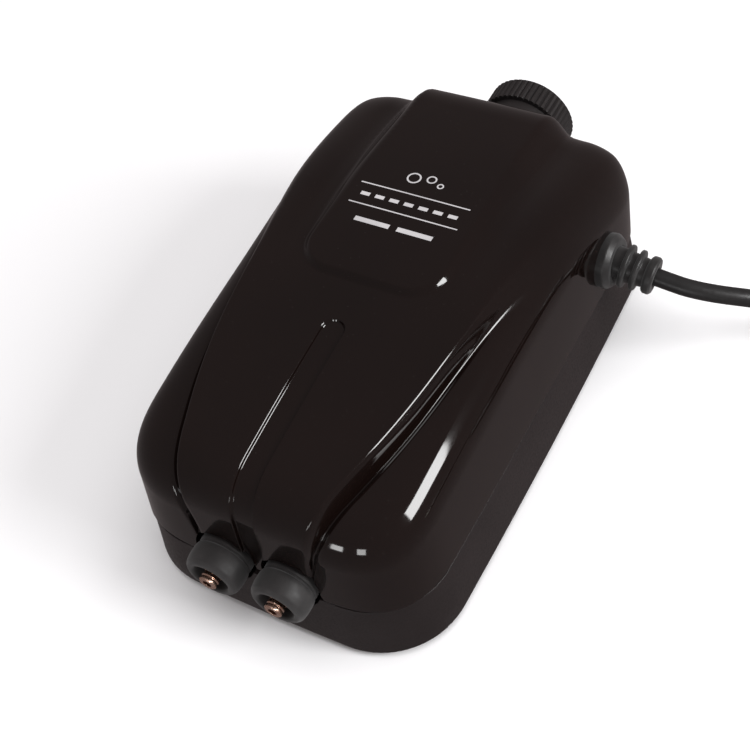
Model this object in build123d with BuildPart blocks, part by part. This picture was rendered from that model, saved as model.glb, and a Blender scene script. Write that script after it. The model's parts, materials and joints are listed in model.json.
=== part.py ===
from build123d import *
import os
from math import atan, cos, degrees, pi, radians, sin, sqrt

# A twin-outlet diaphragm air pump for an aquarium, in millimetres. It is drawn about the middle
# of the case at floor level: +Z is up, the outlets face -Y, the flow knob +Y, the cord +X.

SIDES = {"left": -1, "right": 1}

# Case
CASE_W = 98.0
CASE_L = 162.0
FOOT_LIFT = 2.0
PARTING_Z = 21.0
FRONT_CORNER_R = 24.0
REAR_CORNER_R = 18.0
SIDE_BOW = 1.2
HOUSING_INSET = 2.3
HOUSING_WALL = 2.7
FLOOR_Z = 4.5
SHELL_STEP = 0.5
SHELL_DRAFT = 2.0
SHELL_WALL = 2.3
FENDER_TOP = 59.0
CENTRE_TOP = 61.8
HUMP_TOP = 63.5
SHOULDER_R = 10.4
DOME_R = 520.0
DOME_Y = 12.0
CREASE = ((16.5, -84.0), (28.5, -54.0), (33.8, -20.0), (39.0, 15.0), (42.0, 60.0))
HUMP_HALF_W = 21.5
HUMP_FRONT_Y = -5.0
RIB_HALF_W = 3.3
RIB_BACK_Y = -20.0
RIB_DEPTH = 0.9
LIP_GAP = 0.4
LIP_T = 1.3
LIP_TOP_Z = 23.5

# Feet, case screws and inlet filter
FOOT_AT = (34.0, 60.0)
FOOT_R = 6.0
CASE_SCREW_AT = (24.0, 69.0)
FILTER_Y = -10.0
WINDOW = (36.0, 36.0)
COVER = (44.0, 44.0)

# Label
LABEL_RULES_Y = (17.6, 25.5)
LABEL_HALF_W = 16.8

# Outlets and manifold
NOZZLE_X = 10.3
NOZZLE_Z = 23.7
NOZZLE_TIP_Y = -87.6
NOZZLE_TIP_R = 2.6
NOZZLE_SHANK_R = 4.0
AIR_BORE_R = 1.3
COLLAR_FRONT_Y = -86.2
COLLAR_BACK_Y = -73.0
COLLAR_R = 8.3
COLLAR_GAP = 0.6
MANIFOLD_Y = (-66.0, -55.0)
MANIFOLD_HALF_W = 17.0
PORT_Y = -60.5
NIPPLE_R = 2.2
NIPPLE_LENGTH = 6.0
HOSE_R = 2.9

# Drive: pump heads, arms, magnets and coil
POST_TOP_Z = 8.5
POST_R = 3.5
POST_BORE_R = 1.5
SCREW_HEAD_R = 2.8
HEAD_Z = 27.0
HEAD_R = 14.5
HEAD_X = (34.0, 40.0, 42.0)
HEAD_FOOT_Y = 17.0
FLAP_Y = 5.2
ARM_X = (24.0, 27.0)
ARM_Z = (22.0, 32.0)
PIVOT = (25.5, -34.0)
PIVOT_R = 1.5
BUSH_R = 4.2
ARM_END_Y = 48.0
COIL_Y = 38.0
COIL_Z = 28.0
LIMB = 12.0
POLE_X = (14.0, 17.0)
BRACKET_Z = (8.5, 10.0)
MAGNET_X = 20.2
RUNNING = 0.05

# Flow control
KNOB_Z = 30.3
KNOB_R = 14.3
KNOB_SKIRT_R = 12.6
KNOB_Y = (84.6, 90.0, 98.5)
KNOB_RIDGES = 48
SPINDLE_R = 2.5
VALVE_Y = (62.0, 73.0, 84.0)
VALVE_BOSS_R = 6.5
NUT_R = 9.2

# Cord
CORD_D = 5.2
GLAND_AT = (45.6, 46.0, 32.9)
GLAND_DROOP = 8.0
GLAND_TAIL = 12.2
RING_R = 28.6
RING_AT = (159.0, 61.0)
RING_HALF = (7.8, 5.2)
RING_LIFT = 0.4
CORD_Z = 2.9
LEAD_IN_ANGLE = 117.0

# The part's origin: on the floor, under the middle of the whole length from outlets to knob
TO_ORIGIN = Location((0, -(NOZZLE_TIP_Y + KNOB_Y[2]) / 2, 0))

os.makedirs("parts", exist_ok=True)


def plan(inset):
    """Outline of the case, this far inside its foot line: four shallow arcs, rounded corners."""
    x, y, bow = CASE_W / 2 - inset, CASE_L / 2 - inset, SIDE_BOW
    corner_x, corner_y = x - bow, y - bow
    with BuildSketch() as sketch:
        with BuildLine():
            ThreePointArc((-corner_x, -corner_y), (0, -y), (corner_x, -corner_y))
            ThreePointArc((corner_x, -corner_y), (x, 0), (corner_x, corner_y))
            ThreePointArc((corner_x, corner_y), (0, y), (-corner_x, corner_y))
            ThreePointArc((-corner_x, corner_y), (-x, 0), (-corner_x, -corner_y))
        make_face()
        fillet(sketch.vertices().group_by(Axis.Y)[0], FRONT_CORNER_R - inset)
        fillet(sketch.vertices().group_by(Axis.Y)[-1], REAR_CORNER_R - inset)
    return sketch.sketch


def dome(top):
    """Everything below the domed top: an arc along the length, extruded across the width."""
    half = 110.0
    edge_z = top - DOME_R + sqrt(DOME_R ** 2 - half ** 2)
    with BuildPart() as cap:
        with BuildSketch(Plane.YZ):
            with BuildLine():
                ThreePointArc((DOME_Y - half, edge_z), (DOME_Y, top), (DOME_Y + half, edge_z))
                Polyline((DOME_Y + half, edge_z), (DOME_Y + half, 0), (DOME_Y - half, 0),
                         (DOME_Y - half, edge_z))
            make_face()
        extrude(amount=80, both=True)
    return cap.part


def shell_block(top, inset=0.0):
    """One drafted block with a domed top and a rounded shoulder all round."""
    with BuildPart() as block:
        with BuildSketch(Plane.XY.offset(PARTING_Z)):
            add(plan(HOUSING_INSET + SHELL_STEP + inset))
        extrude(amount=60, taper=SHELL_DRAFT)
        add(dome(top - inset), mode=Mode.INTERSECT)
        fillet(block.faces().sort_by(Axis.Z)[-1].edges(), SHOULDER_R - inset)
    return block.part


def dome_z(top, y):
    """Height of a domed top on the middle line."""
    return top - DOME_R + sqrt(DOME_R ** 2 - (y - DOME_Y) ** 2)


def box_between(low, high, mode=Mode.ADD):
    """A box from its lowest to its highest corner."""
    with Locations(tuple((a + b) / 2 for a, b in zip(low, high))):
        Box(*[b - a for a, b in zip(low, high)], mode=mode)


def rod(start, axis, radius, length, mode=Mode.ADD):
    """A cylinder that grows from a start point along an axis."""
    with Locations(Plane(origin=start, z_dir=axis)):
        Cylinder(radius, length, align=(Align.CENTER, Align.CENTER, Align.MIN), mode=mode)


def tube(points, radii, outer, inner=0.0):
    """A round tube along straight runs joined by arcs."""
    with BuildPart() as pipe:
        with BuildLine() as route:
            FilletPolyline(*points, radius=radii)
        with BuildSketch(Plane(origin=route.line @ 0, z_dir=route.line % 0)):
            Circle(outer)
            if inner:
                Circle(inner, mode=Mode.SUBTRACT)
        sweep(path=route.line)
    return pipe.part


def corners(x, y):
    return [(sx * x, sy * y) for sx in (-1, 1) for sy in (-1, 1)]


# Rows of upright screw posts on the floor: pump heads, coil bracket and manifold
HEAD_POSTS = [(sx * 37.0, sy * HEAD_FOOT_Y) for sx in (-1, 1) for sy in (-1, 1)]
BRACKET_POSTS = [(sx * 10.0, COIL_Y + sy * 16.5) for sx in (-1, 1) for sy in (-1, 1)]
MANIFOLD_POSTS = [(sx * 11.0, PORT_Y) for sx in (-1, 1)]
FLOOR_POSTS = HEAD_POSTS + BRACKET_POSTS + MANIFOLD_POSTS


# ---- Case ----

fender_block = shell_block(FENDER_TOP)
centre_block = shell_block(CENTRE_TOP)
hump_block = shell_block(HUMP_TOP)

with BuildPart() as centre_section:
    with BuildSketch(Plane.XY.offset(PARTING_Z)):
        with BuildLine():
            edge = Spline(*CREASE)
            Polyline(CREASE[-1], (CREASE[-1][0], 90), (-CREASE[-1][0], 90), (-CREASE[-1][0], CREASE[-1][1]))
            mirror(edge, about=Plane.YZ)
            Line(CREASE[0], (-CREASE[0][0], CREASE[0][1]))
        make_face()
    extrude(amount=50)
    add(centre_block, mode=Mode.INTERSECT)

with BuildPart() as hump:
    with BuildSketch(Plane.XY.offset(PARTING_Z)):
        with Locations((0, (HUMP_FRONT_Y + 90) / 2)):
            RectangleRounded(2 * HUMP_HALF_W, 90 - HUMP_FRONT_Y, 8)
    extrude(amount=50)
    add(hump_block, mode=Mode.INTERSECT)

with BuildPart() as cavity:
    add(shell_block(FENDER_TOP, SHELL_WALL))

with BuildPart() as centre_cavity:
    add(shell_block(CENTRE_TOP, SHELL_WALL))
    with Locations((0, 0, PARTING_Z)):
        Box(52, 200, 100, mode=Mode.INTERSECT)

with BuildPart() as bosses:
    with BuildSketch(Plane.XY.offset(PARTING_Z)):
        with Locations(*corners(*CASE_SCREW_AT)):
            Circle(4.0)
    extrude(amount=40)
    add(shell_block(FENDER_TOP, 1.0), mode=Mode.INTERSECT)

with BuildPart() as rib_channel:
    with BuildSketch(Plane.XY.offset(PARTING_Z)):
        with Locations((0, (RIB_BACK_Y - 90) / 2)):
            RectangleRounded(2 * RIB_HALF_W, RIB_BACK_Y + 90, RIB_HALF_W - 0.1)
    extrude(amount=50)
    add(shell_block(CENTRE_TOP, RIB_DEPTH), mode=Mode.SUBTRACT)

with BuildPart() as upper_shell:
    add(fender_block)
    add(centre_section.part)
    add(hump.part)
    add(rib_channel.part, mode=Mode.SUBTRACT)
    add(cavity.part, mode=Mode.SUBTRACT)
    add(centre_cavity.part, mode=Mode.SUBTRACT)
    add(bosses.part)
    with BuildSketch(Plane.XY.offset(PARTING_Z)):
        with Locations(*corners(*CASE_SCREW_AT)):
            Circle(POST_BORE_R)
    extrude(amount=14, mode=Mode.SUBTRACT)
    for side in SIDES.values():
        x, reach = side * NOZZLE_X, COLLAR_R + COLLAR_GAP
        rod((x, -70, NOZZLE_Z), (0, -1, 0), reach, 14, Mode.SUBTRACT)
        box_between((x - reach, -84, PARTING_Z - 1), (x + reach, -70, NOZZLE_Z), Mode.SUBTRACT)
    rod((0, 70, KNOB_Z), (0, 1, 0), VALVE_BOSS_R, 14, Mode.SUBTRACT)
    rod((40, GLAND_AT[1], GLAND_AT[2]), (1, 0, 0), 4.2, 10, Mode.SUBTRACT)
upper_shell.part.label = "upper_shell"
export_step(upper_shell.part.moved(TO_ORIGIN), "parts/upper_shell.step")

housing_draft = degrees(atan(HOUSING_INSET / (PARTING_Z - FOOT_LIFT)))
with BuildPart() as lower_housing:
    with BuildSketch(Plane.XY.offset(FOOT_LIFT)):
        add(plan(0))
    extrude(amount=PARTING_Z - FOOT_LIFT, taper=housing_draft)
    fillet(lower_housing.faces().sort_by(Axis.Z)[0].edges(), 0.8)
    with BuildSketch(Plane.XY.offset(FLOOR_Z)):
        add(plan(HOUSING_WALL + 0.3))
    extrude(amount=PARTING_Z - FLOOR_Z, taper=housing_draft, mode=Mode.SUBTRACT)
    lip = HOUSING_INSET + SHELL_STEP + SHELL_WALL + LIP_GAP
    with BuildSketch(Plane.XY.offset(PARTING_Z - 4)):
        add(plan(lip - 2))
        add(plan(lip + LIP_T), mode=Mode.SUBTRACT)
    extrude(amount=4)
    with BuildSketch(Plane.XY.offset(PARTING_Z)):
        add(plan(lip))
        add(plan(lip + LIP_T), mode=Mode.SUBTRACT)
    extrude(amount=LIP_TOP_Z - PARTING_Z)
    with BuildSketch(Plane.XY.offset(FLOOR_Z)):
        with Locations(*FLOOR_POSTS):
            Circle(POST_R)
            Circle(POST_BORE_R, mode=Mode.SUBTRACT)
    extrude(amount=POST_TOP_Z - FLOOR_Z)
    for side in SIDES.values():
        rod((side * PIVOT[0], PIVOT[1], FLOOR_Z), (0, 0, 1), BUSH_R, 15)
        rod((side * PIVOT[0], PIVOT[1], POST_TOP_Z), (0, 0, 1), PIVOT_R, 20, Mode.SUBTRACT)
        rod((side * NOZZLE_X, -70, NOZZLE_Z), (0, -1, 0), COLLAR_R + COLLAR_GAP, 14, Mode.SUBTRACT)
    for x, y in corners(*CASE_SCREW_AT):
        rod((x, y, FLOOR_Z), (0, 0, 1), 4.6, PARTING_Z - FLOOR_Z)
        rod((x, y, FOOT_LIFT), (0, 0, 1), POST_BORE_R + 0.2, 20, Mode.SUBTRACT)
        rod((x, y, FOOT_LIFT), (0, 0, 1), 3.4, 6, Mode.SUBTRACT)
    for x, y in corners(*FOOT_AT):
        rod((x, y, FOOT_LIFT), (0, 0, 1), FOOT_R, 1.2, Mode.SUBTRACT)
    half_x, half_y = WINDOW[0] / 2, WINDOW[1] / 2
    box_between((-half_x - 2, FILTER_Y - half_y - 2, FLOOR_Z), (half_x + 2, FILTER_Y + half_y + 2, 7))
    box_between((-half_x, FILTER_Y - half_y, 0), (half_x, FILTER_Y + half_y, 8), Mode.SUBTRACT)
    box_between((-COVER[0] / 2, FILTER_Y - COVER[1] / 2, 0), (COVER[0] / 2, FILTER_Y + COVER[1] / 2, 3.5),
                Mode.SUBTRACT)
lower_housing.part.label = "lower_housing"
export_step(lower_housing.part.moved(TO_ORIGIN), "parts/lower_housing.step")

with BuildPart() as rubber_feet:
    for x, y in corners(*FOOT_AT):
        rod((x, y, 0), (0, 0, 1), FOOT_R, FOOT_LIFT + 1.2)
    chamfer(rubber_feet.edges().filter_by(GeomType.CIRCLE).group_by(Axis.Z)[0], 0.6)
rubber_feet.part.label = "rubber_feet"
export_step(rubber_feet.part.moved(TO_ORIGIN), "parts/rubber_feet.step")

with BuildPart() as case_screws:
    for x, y in corners(*CASE_SCREW_AT):
        rod((x, y, 5.6), (0, 0, 1), 3.2, 2.4)
        rod((x, y, 8.0), (0, 0, 1), POST_BORE_R, 24)
        box_between((x - 2, y - 0.4, 5.6), (x + 2, y + 0.4, 6.6), Mode.SUBTRACT)
        box_between((x - 0.4, y - 2, 5.6), (x + 0.4, y + 2, 6.6), Mode.SUBTRACT)
case_screws.part.label = "case_screws"
export_step(case_screws.part.moved(TO_ORIGIN), "parts/case_screws.step")

with BuildPart() as filter_cover:
    box_between((-COVER[0] / 2, FILTER_Y - COVER[1] / 2, FOOT_LIFT),
                (COVER[0] / 2, FILTER_Y + COVER[1] / 2, 3.5))
    with BuildSketch(Plane.XY.offset(FOOT_LIFT)):
        with Locations((0, FILTER_Y)):
            with GridLocations(5, 0, 7, 1):
                SlotOverall(30, 2, rotation=90)
    extrude(amount=2, mode=Mode.SUBTRACT)
filter_cover.part.label = "filter_cover"
export_step(filter_cover.part.moved(TO_ORIGIN), "parts/filter_cover.step")

with BuildPart() as filter_felt:
    box_between((-WINDOW[0] / 2, FILTER_Y - WINDOW[1] / 2, 3.5),
                (WINDOW[0] / 2, FILTER_Y + WINDOW[1] / 2, 6.5))
filter_felt.part.label = "filter_felt"
export_step(filter_felt.part.moved(TO_ORIGIN), "parts/filter_felt.step")

with BuildPart() as label_rules:
    for y in LABEL_RULES_Y:
        z = dome_z(HUMP_TOP, y - 0.3) + 0.01
        box_between((-LABEL_HALF_W, y - 0.3, z), (LABEL_HALF_W, y + 0.3, z + 0.15))
label_rules.part.label = "label_rules"
export_step(label_rules.part.moved(TO_ORIGIN), "parts/label_rules.step")


# ---- Outlets ----

with BuildPart() as manifold:
    box_between((-MANIFOLD_HALF_W, MANIFOLD_Y[0], 18), (MANIFOLD_HALF_W, MANIFOLD_Y[1], 31.5))
    box_between((-6.5, MANIFOLD_Y[0] + 1, FLOOR_Z), (6.5, MANIFOLD_Y[1] - 1, 18))
    box_between((-15, PORT_Y - 4, POST_TOP_Z), (15, PORT_Y + 4, 11))
    fillet(manifold.edges().filter_by(Axis.Y).group_by(Axis.Z)[-1], 1.5)
    for side in SIDES.values():
        rod((side * MANIFOLD_HALF_W, PORT_Y, HEAD_Z), (side, 0, 0), NIPPLE_R, NIPPLE_LENGTH)
        rod((side * NOZZLE_X, MANIFOLD_Y[0], NOZZLE_Z), (0, 1, 0), NOZZLE_SHANK_R, 4, Mode.SUBTRACT)
        rod((side * NOZZLE_X, MANIFOLD_Y[0], NOZZLE_Z), (0, 1, 0), AIR_BORE_R, 6, Mode.SUBTRACT)
    rod((0, PORT_Y, 31.5), (0, 0, 1), NIPPLE_R, NIPPLE_LENGTH)
    rod((-24, PORT_Y, HEAD_Z), (1, 0, 0), AIR_BORE_R, 48, Mode.SUBTRACT)
    rod((0, PORT_Y, HEAD_Z), (0, 0, 1), AIR_BORE_R, 12, Mode.SUBTRACT)
    for x, y in MANIFOLD_POSTS:
        rod((x, y, POST_TOP_Z), (0, 0, 1), POST_BORE_R, 3, Mode.SUBTRACT)
manifold.part.label = "manifold"
export_step(manifold.part.moved(TO_ORIGIN), "parts/manifold.step")

with BuildPart() as manifold_screws:
    for x, y in MANIFOLD_POSTS:
        rod((x, y, 5), (0, 0, 1), POST_BORE_R, 6)
        rod((x, y, 11), (0, 0, 1), SCREW_HEAD_R, 1.8)
manifold_screws.part.label = "manifold_screws"
export_step(manifold_screws.part.moved(TO_ORIGIN), "parts/manifold_screws.step")

for name, side in SIDES.items():
    with BuildPart() as nozzle:
        tip = (side * NOZZLE_X, NOZZLE_TIP_Y, NOZZLE_Z)
        shank = (side * NOZZLE_X, COLLAR_FRONT_Y + 6.5, NOZZLE_Z)
        rod(tip, (0, 1, 0), NOZZLE_TIP_R, shank[1] - tip[1])
        chamfer(nozzle.edges().filter_by(GeomType.CIRCLE).group_by(Axis.Y)[0], 0.3)
        rod(shank, (0, 1, 0), NOZZLE_SHANK_R, MANIFOLD_Y[0] + 4 - shank[1])
        for groove in (1.2, 2.6, 4.0):
            with Locations(Plane(origin=(tip[0], tip[1] + groove, tip[2]), z_dir=(0, 1, 0))):
                Torus(NOZZLE_TIP_R + 0.15, 0.42, mode=Mode.SUBTRACT)
        rod(tip, (0, 1, 0), AIR_BORE_R, 40, Mode.SUBTRACT)
    nozzle.part.label = f"nozzle_{name}"
    export_step(nozzle.part.moved(TO_ORIGIN), f"parts/nozzle_{name}.step")

    with BuildPart() as collar:
        front, back = COLLAR_FRONT_Y, COLLAR_BACK_Y
        with BuildSketch(Plane.XY):
            with BuildLine():
                Line((NOZZLE_SHANK_R, back), (COLLAR_R - 0.5, back))
                ThreePointArc((COLLAR_R - 0.5, back), (COLLAR_R, (front + back) / 2 + 0.5),
                              (COLLAR_R - 0.7, front + 2))
                ThreePointArc((COLLAR_R - 0.7, front + 2), (COLLAR_R - 1.35, front + 0.6),
                              (COLLAR_R - 2.7, front))
                Polyline((COLLAR_R - 2.7, front), (5.3, front + 0.3), (5.3, front + 6.5),
                         (NOZZLE_SHANK_R, front + 6.5), (NOZZLE_SHANK_R, back))
            make_face()
        revolve(axis=Axis.Y)
    collar.part.position = (side * NOZZLE_X, 0, NOZZLE_Z)
    collar.part.label = f"collar_{name}"
    export_step(collar.part.moved(TO_ORIGIN), f"parts/collar_{name}.step")

for name, side in SIDES.items():
    head_port = (side * (HEAD_X[0] + 3), -HEAD_R - 0.7, HEAD_Z)
    elbow = (head_port[0], PORT_Y, HEAD_Z)
    air_hose = tube([head_port, elbow, (side * (MANIFOLD_HALF_W + 0.4), PORT_Y, HEAD_Z)], 11,
                    HOSE_R, NIPPLE_R)
    air_hose.label = f"air_hose_{name}"
    export_step(air_hose.moved(TO_ORIGIN), f"parts/air_hose_{name}.step")

valve_port_y = (VALVE_Y[0] + VALVE_Y[1]) / 2
bleed_hose = tube([(0, PORT_Y, 32), (0, PORT_Y, 46.5), (0, valve_port_y, 46.5), (0, valve_port_y, 38.5)],
                  [8, 4.2], HOSE_R, NIPPLE_R)
bleed_hose.label = "bleed_hose"
export_step(bleed_hose.moved(TO_ORIGIN), "parts/bleed_hose.step")


# ---- Drive: core, coil, arms and pump heads ----

with BuildPart() as laminated_core:
    half = LIMB / 2
    box_between((-POLE_X[1], COIL_Y - half, COIL_Z - half), (POLE_X[1], COIL_Y + half, COIL_Z + half))
    for side in SIDES.values():
        low_x, high_x = sorted((side * POLE_X[0], side * POLE_X[1]))
        box_between((low_x, COIL_Y - 11, BRACKET_Z[1]), (high_x, COIL_Y + 11, 39))
laminated_core.part.label = "laminated_core"
export_step(laminated_core.part.moved(TO_ORIGIN), "parts/laminated_core.step")

with BuildPart() as bobbin:
    with BuildSketch(Plane.YZ.offset(-13.8)):
        with Locations((COIL_Y, COIL_Z)):
            RectangleRounded(25, 25, 2)
    extrude(amount=27.6)
    with BuildSketch(Plane.YZ.offset(-12.4)):
        with Locations((COIL_Y, COIL_Z)):
            Rectangle(40, 40)
            RectangleRounded(15, 15, 1, mode=Mode.SUBTRACT)
    extrude(amount=24.8, mode=Mode.SUBTRACT)
    with BuildSketch(Plane.YZ.offset(-14)):
        with Locations((COIL_Y, COIL_Z)):
            Rectangle(LIMB + 0.1, LIMB + 0.1)
    extrude(amount=28, mode=Mode.SUBTRACT)
bobbin.part.label = "bobbin"
export_step(bobbin.part.moved(TO_ORIGIN), "parts/bobbin.step")

with BuildPart() as coil_winding:
    with BuildSketch(Plane.YZ.offset(-12.3)):
        with Locations((COIL_Y, COIL_Z)):
            RectangleRounded(22.6, 22.6, 4)
            RectangleRounded(15.1, 15.1, 1, mode=Mode.SUBTRACT)
    extrude(amount=24.6)
coil_winding.part.label = "coil_winding"
export_step(coil_winding.part.moved(TO_ORIGIN), "parts/coil_winding.step")

with BuildPart() as coil_tape:
    with BuildSketch(Plane.YZ.offset(-8)):
        with Locations((COIL_Y, COIL_Z)):
            RectangleRounded(23.4, 23.4, 4.4)
            RectangleRounded(22.6, 22.6, 4, mode=Mode.SUBTRACT)
    extrude(amount=16)
coil_tape.part.label = "coil_tape"
export_step(coil_tape.part.moved(TO_ORIGIN), "parts/coil_tape.step")

with BuildPart() as core_bracket:
    box_between((-POLE_X[1], COIL_Y - 20.5, BRACKET_Z[0]), (POLE_X[1], COIL_Y + 20.5, BRACKET_Z[1]))
    fillet(core_bracket.edges().filter_by(Axis.Z), 3)
    for x, y in BRACKET_POSTS:
        rod((x, y, BRACKET_Z[0]), (0, 0, 1), POST_BORE_R, 2, Mode.SUBTRACT)
    for side in SIDES.values():
        low_x, high_x = sorted((side * POLE_X[0], side * POLE_X[1]))
        box_between((low_x, COIL_Y - 12.6, BRACKET_Z[1]), (high_x, COIL_Y - 11, 30))
        box_between((low_x, COIL_Y + 11, BRACKET_Z[1]), (high_x, COIL_Y + 12.6, 30))
core_bracket.part.label = "core_bracket"
export_step(core_bracket.part.moved(TO_ORIGIN), "parts/core_bracket.step")

with BuildPart() as bracket_screws:
    for x, y in BRACKET_POSTS:
        rod((x, y, 5), (0, 0, 1), POST_BORE_R, BRACKET_Z[1] - 5)
        rod((x, y, BRACKET_Z[1]), (0, 0, 1), SCREW_HEAD_R, 1.8)
bracket_screws.part.label = "bracket_screws"
export_step(bracket_screws.part.moved(TO_ORIGIN), "parts/bracket_screws.step")

with BuildPart() as pivot_pins:
    for side in SIDES.values():
        rod((side * PIVOT[0], PIVOT[1], POST_TOP_Z), (0, 0, 1), PIVOT_R, 28.5)
pivot_pins.part.label = "pivot_pins"
export_step(pivot_pins.part.moved(TO_ORIGIN), "parts/pivot_pins.step")

with BuildPart() as pivot_clips:
    for side in SIDES.values():
        rod((side * PIVOT[0], PIVOT[1], 34.6), (0, 0, 1), 3.4, 1)
        rod((side * PIVOT[0], PIVOT[1], 34.6), (0, 0, 1), PIVOT_R, 1, Mode.SUBTRACT)
pivot_clips.part.label = "pivot_clips"
export_step(pivot_clips.part.moved(TO_ORIGIN), "parts/pivot_clips.step")

for name, side in SIDES.items():
    out = (side, 0, 0)

    with BuildPart() as arm:
        low_x, high_x = sorted((side * ARM_X[0], side * ARM_X[1]))
        box_between((low_x, PIVOT[1], ARM_Z[0]), (high_x, ARM_END_Y, ARM_Z[1]))
        chamfer(arm.edges().filter_by(Axis.X).group_by(Axis.Y)[-1], 2)
        rod((side * PIVOT[0], PIVOT[1], 20), (0, 0, 1), BUSH_R, 14)
        rod((side * PIVOT[0], PIVOT[1], 20), (0, 0, 1), PIVOT_R + RUNNING, 14, Mode.SUBTRACT)
        rod((side * ARM_X[0], 0, HEAD_Z), out, PIVOT_R, 3, Mode.SUBTRACT)
    arm.part.label = f"arm_{name}"
    export_step(arm.part.moved(TO_ORIGIN), f"parts/arm_{name}.step")

    with BuildPart() as magnet:
        low_x, high_x = sorted((side * MAGNET_X, side * ARM_X[0]))
        box_between((low_x, COIL_Y - 9, HEAD_Z - 9), (high_x, COIL_Y + 9, HEAD_Z + 9))
        chamfer(magnet.edges().filter_by(Axis.X), 0.8)
    magnet.part.label = f"magnet_{name}"
    export_step(magnet.part.moved(TO_ORIGIN), f"parts/magnet_{name}.step")

    with BuildPart() as diaphragm_screw:
        rod((side * (ARM_X[0] - 2), 0, HEAD_Z), out, SCREW_HEAD_R, 2)
        rod((side * ARM_X[0], 0, HEAD_Z), out, PIVOT_R, 8.6)
    diaphragm_screw.part.label = f"diaphragm_screw_{name}"
    export_step(diaphragm_screw.part.moved(TO_ORIGIN), f"parts/diaphragm_screw_{name}.step")

    with BuildPart() as clamp_discs:
        rod((side * ARM_X[1], 0, HEAD_Z), out, 4.6, 2.4)
        rod((side * 31.1, 0, HEAD_Z), out, 5.4, 1.5)
        rod((side * ARM_X[1], 0, HEAD_Z), out, PIVOT_R, 6, Mode.SUBTRACT)
    clamp_discs.part.label = f"clamp_discs_{name}"
    export_step(clamp_discs.part.moved(TO_ORIGIN), f"parts/clamp_discs_{name}.step")

    with BuildPart() as diaphragm:
        with BuildSketch(Plane.XY.offset(HEAD_Z)):
            with BuildLine():
                Polyline((29.4, PIVOT_R), (29.4, 6.2), (32.4, 10.6), (32.4, HEAD_R), (HEAD_X[0], HEAD_R),
                         (HEAD_X[0], 9.8), (31.1, 5.6), (31.1, PIVOT_R), (29.4, PIVOT_R))
            make_face()
        revolve(axis=Axis((0, 0, HEAD_Z), (1, 0, 0)))
        if side < 0:
            mirror(about=Plane.YZ, mode=Mode.REPLACE)
    diaphragm.part.label = f"diaphragm_{name}"
    export_step(diaphragm.part.moved(TO_ORIGIN), f"parts/diaphragm_{name}.step")

    with BuildPart() as clamp_ring:
        rod((side * 31.0, 0, HEAD_Z), out, HEAD_R, 1.4)
        rod((side * 31.0, 0, HEAD_Z), out, 12.2, 1.4, Mode.SUBTRACT)
    clamp_ring.part.label = f"clamp_ring_{name}"
    export_step(clamp_ring.part.moved(TO_ORIGIN), f"parts/clamp_ring_{name}.step")

    with BuildPart() as valve_box:
        low_x, high_x = sorted((side * HEAD_X[0], side * HEAD_X[1]))
        rod((side * HEAD_X[0], 0, HEAD_Z), out, HEAD_R, HEAD_X[1] - HEAD_X[0])
        box_between((low_x, -9, POST_TOP_Z), (high_x, 9, 18))
        box_between((low_x, -HEAD_FOOT_Y - 3.5, POST_TOP_Z), (high_x, HEAD_FOOT_Y + 3.5, 11))
        rod((side * (HEAD_X[0] + 3), -HEAD_R + 1, HEAD_Z), (0, -1, 0), NIPPLE_R, NIPPLE_LENGTH + 1)
        rod((side * HEAD_X[0], 0, HEAD_Z), out, 9.5, 1.5, Mode.SUBTRACT)
        rod((side * (HEAD_X[0] + 3), 0, HEAD_Z), (0, -1, 0), AIR_BORE_R, 30, Mode.SUBTRACT)
        for y in (-FLAP_Y, FLAP_Y):
            rod((side * HEAD_X[0], y, HEAD_Z), out, 1.8, 6, Mode.SUBTRACT)
            rod((side * (HEAD_X[1] - 1.2), y, HEAD_Z), out, 3.8, 1.2, Mode.SUBTRACT)
        for y in (-HEAD_FOOT_Y, HEAD_FOOT_Y):
            rod((side * 37, y, POST_TOP_Z), (0, 0, 1), POST_BORE_R, 3, Mode.SUBTRACT)
        for y, z in corners(8, 8):
            rod((side * HEAD_X[0], y, HEAD_Z + z), out, 1.2, 6, Mode.SUBTRACT)
    valve_box.part.label = f"valve_box_{name}"
    export_step(valve_box.part.moved(TO_ORIGIN), f"parts/valve_box_{name}.step")

    with BuildPart() as valve_flaps:
        for y in (-FLAP_Y, FLAP_Y):
            rod((side * (HEAD_X[1] - 1.0), y, HEAD_Z), out, 3.6, 0.8)
    valve_flaps.part.label = f"valve_flaps_{name}"
    export_step(valve_flaps.part.moved(TO_ORIGIN), f"parts/valve_flaps_{name}.step")

    with BuildPart() as valve_cover:
        rod((side * HEAD_X[1], 0, HEAD_Z), out, HEAD_R, HEAD_X[2] - HEAD_X[1])
        for y, z in corners(8, 8):
            rod((side * HEAD_X[1], y, HEAD_Z + z), out, 1.2, 2, Mode.SUBTRACT)
            rod((side * (HEAD_X[2] - 1.1), y, HEAD_Z + z), out, 2.2, 1.1, Mode.SUBTRACT)
    valve_cover.part.label = f"valve_cover_{name}"
    export_step(valve_cover.part.moved(TO_ORIGIN), f"parts/valve_cover_{name}.step")

    with BuildPart() as cover_screws:
        for y, z in corners(8, 8):
            rod((side * (HEAD_X[0] + 0.5), y, HEAD_Z + z), out, 1.2, 6.4)
            rod((side * (HEAD_X[2] - 1.1), y, HEAD_Z + z), out, 2.2, 1.1)
    cover_screws.part.label = f"cover_screws_{name}"
    export_step(cover_screws.part.moved(TO_ORIGIN), f"parts/cover_screws_{name}.step")

with BuildPart() as head_screws:
    for x, y in HEAD_POSTS:
        rod((x, y, 5), (0, 0, 1), POST_BORE_R, 6)
        rod((x, y, 11), (0, 0, 1), SCREW_HEAD_R, 1.8)
head_screws.part.label = "head_screws"
export_step(head_screws.part.moved(TO_ORIGIN), "parts/head_screws.step")


# ---- Flow control ----

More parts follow.
